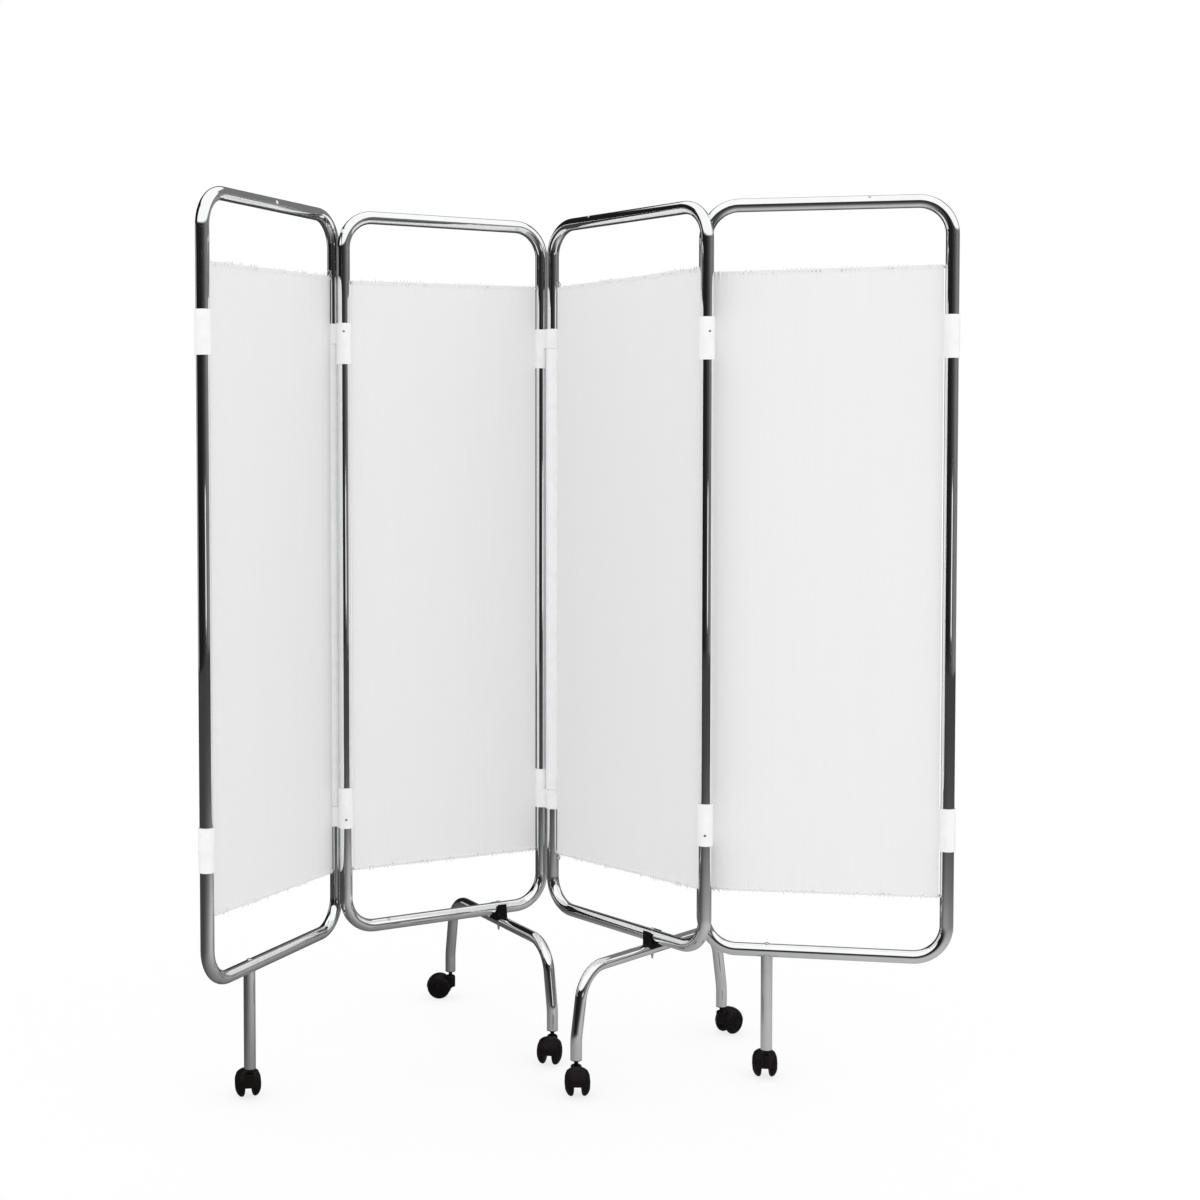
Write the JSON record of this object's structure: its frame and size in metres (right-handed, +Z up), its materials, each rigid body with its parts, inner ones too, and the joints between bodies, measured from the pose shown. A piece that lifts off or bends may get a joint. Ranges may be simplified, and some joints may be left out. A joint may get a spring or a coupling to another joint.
{
  "type": "ward privacy screen",
  "caption": "Folding ward privacy screen: hinged tube frames with gathered curtains on wires, standing on straight and cross legs with twin-wheel castors.",
  "frame": {"origin": "on the floor, under the middle of the bounding box of the screen as it stands in the picture", "axes": "+X along the screen to the viewer's right, +Y away from the viewer, +Z up"},
  "size_m": [1.3836, 0.7954, 1.6675],
  "materials": {
    "chrome": "polished",
    "steel_wire": "bright",
    "white_plastic": "smooth satin",
    "white_cloth": "plain woven",
    "black_plastic": "satin",
    "black_wheel": "satin"
  },
  "bodies": {
    "panel_2": {"frame_2": "chrome", "curtain_2": "white_cloth", "curtain_wire_2_top": "steel_wire", "curtain_wire_2_bottom": "steel_wire", "hinge_clip_1_2_top": "white_plastic", "hinge_clip_1_2_bottom": "white_plastic", "hinge_clip_2_3_top": "white_plastic", "hinge_clip_2_3_bottom": "white_plastic", "leg_clamp_2": "black_plastic", "cross_leg_2": "chrome", "castor_2_back_stem": "steel_wire", "castor_2_front_stem": "steel_wire"},
    "panel_1": {"frame_1": "chrome", "curtain_1": "white_cloth", "curtain_wire_1_top": "steel_wire", "curtain_wire_1_bottom": "steel_wire", "end_sleeve_1_top": "white_plastic", "end_sleeve_1_bottom": "white_plastic", "spacer_sleeve_1": "white_plastic", "leg_1": "chrome", "castor_1_stem": "steel_wire"},
    "panel_3": {"frame_3": "chrome", "curtain_3": "white_cloth", "curtain_wire_3_top": "steel_wire", "curtain_wire_3_bottom": "steel_wire", "spacer_sleeve_3": "white_plastic", "leg_clamp_3": "black_plastic", "cross_leg_3": "chrome", "castor_3_back_stem": "steel_wire", "castor_3_front_stem": "steel_wire"},
    "panel_4": {"frame_4": "chrome", "curtain_4": "white_cloth", "curtain_wire_4_top": "steel_wire", "curtain_wire_4_bottom": "steel_wire", "hinge_clip_3_4_top": "white_plastic", "hinge_clip_3_4_bottom": "white_plastic", "spacer_sleeve_4": "white_plastic", "end_sleeve_4_top": "white_plastic", "end_sleeve_4_bottom": "white_plastic", "leg_4": "chrome", "castor_4_stem": "steel_wire"},
    "castor_1": {"castor_1_hood": "black_plastic"},
    "castor_1_wheels": {"castor_1_wheel_a": "black_wheel", "castor_1_wheel_b": "black_wheel"},
    "castor_4": {"castor_4_hood": "black_plastic"},
    "castor_4_wheels": {"castor_4_wheel_a": "black_wheel", "castor_4_wheel_b": "black_wheel"},
    "castor_2_back": {"castor_2_back_hood": "black_plastic"},
    "castor_2_back_wheels": {"castor_2_back_wheel_a": "black_wheel", "castor_2_back_wheel_b": "black_wheel"},
    "castor_2_front": {"castor_2_front_hood": "black_plastic"},
    "castor_2_front_wheels": {"castor_2_front_wheel_a": "black_wheel", "castor_2_front_wheel_b": "black_wheel"},
    "castor_3_back": {"castor_3_back_hood": "black_plastic"},
    "castor_3_back_wheels": {"castor_3_back_wheel_a": "black_wheel", "castor_3_back_wheel_b": "black_wheel"},
    "castor_3_front": {"castor_3_front_hood": "black_plastic"},
    "castor_3_front_wheels": {"castor_3_front_wheel_a": "black_wheel", "castor_3_front_wheel_b": "black_wheel"}
  },
  "joints": [
    {"name": "hinge_1_2", "type": "hinge", "parent": "panel_2", "child": "panel_1", "pos_m": [-0.47572, 0.01894, 0], "axis": [0, 0, 1], "range_deg": [-215, 30]},
    {"name": "hinge_2_3", "type": "hinge", "parent": "panel_2", "child": "panel_3", "pos_m": [-0.03588, 0.18935, 0], "axis": [0, 0, 1], "range_deg": [-98, 150]},
    {"name": "hinge_3_4", "type": "hinge", "parent": "panel_3", "child": "panel_4", "pos_m": [0.23368, -0.17097, 0], "axis": [0, 0, -1], "range_deg": [0, 222]},
    {"name": "castor_1_swivel", "type": "hinge", "parent": "panel_1", "child": "castor_1", "pos_m": [-0.61721, -0.26361, 0], "axis": [0, 0, 1], "continuous": true},
    {"name": "castor_1_roll", "type": "hinge", "parent": "castor_1", "child": "castor_1_wheels", "pos_m": [-0.62383, -0.24054, 0.025], "axis": [-0.9613, -0.2756, 0], "continuous": true},
    {"name": "castor_4_swivel", "type": "hinge", "parent": "panel_4", "child": "castor_4", "pos_m": [0.35275, -0.16186, 0], "axis": [0, 0, 1], "continuous": true},
    {"name": "castor_4_roll", "type": "hinge", "parent": "castor_4", "child": "castor_4_wheels", "pos_m": [0.35401, -0.13789, 0.025], "axis": [-0.9986, 0.0523, 0], "continuous": true},
    {"name": "castor_2_back_swivel", "type": "hinge", "parent": "panel_2", "child": "castor_2_back", "pos_m": [-0.25072, 0.36553, 0], "axis": [0, 0, 1], "continuous": true},
    {"name": "castor_2_back_roll", "type": "hinge", "parent": "castor_2_back", "child": "castor_2_back_wheels", "pos_m": [-0.27435, 0.3697, 0.025], "axis": [-0.1736, -0.9848, 0], "continuous": true},
    {"name": "castor_2_front_swivel", "type": "hinge", "parent": "panel_2", "child": "castor_2_front", "pos_m": [-0.04797, -0.04291, 0], "axis": [0, 0, 1], "continuous": true},
    {"name": "castor_2_front_roll", "type": "hinge", "parent": "castor_2_front", "child": "castor_2_front_wheels", "pos_m": [-0.05458, -0.06598, 0.025], "axis": [0.9613, -0.2756, 0], "continuous": true},
    {"name": "castor_3_back_swivel", "type": "hinge", "parent": "panel_3", "child": "castor_3_back", "pos_m": [0.30577, 0.10859, 0], "axis": [0, 0, 1], "continuous": true},
    {"name": "castor_3_back_roll", "type": "hinge", "parent": "castor_3_back", "child": "castor_3_back_wheels", "pos_m": [0.32389, 0.12433, 0.025], "axis": [-0.6561, 0.7547, 0], "continuous": true},
    {"name": "castor_3_front_swivel", "type": "hinge", "parent": "panel_3", "child": "castor_3_front", "pos_m": [-0.01213, -0.21832, 0], "axis": [0, 0, 1], "continuous": true},
    {"name": "castor_3_front_roll", "type": "hinge", "parent": "castor_3_front", "child": "castor_3_front_wheels", "pos_m": [-0.0113, -0.24231, 0.025], "axis": [0.9994, 0.0349, 0], "continuous": true}
  ]
}
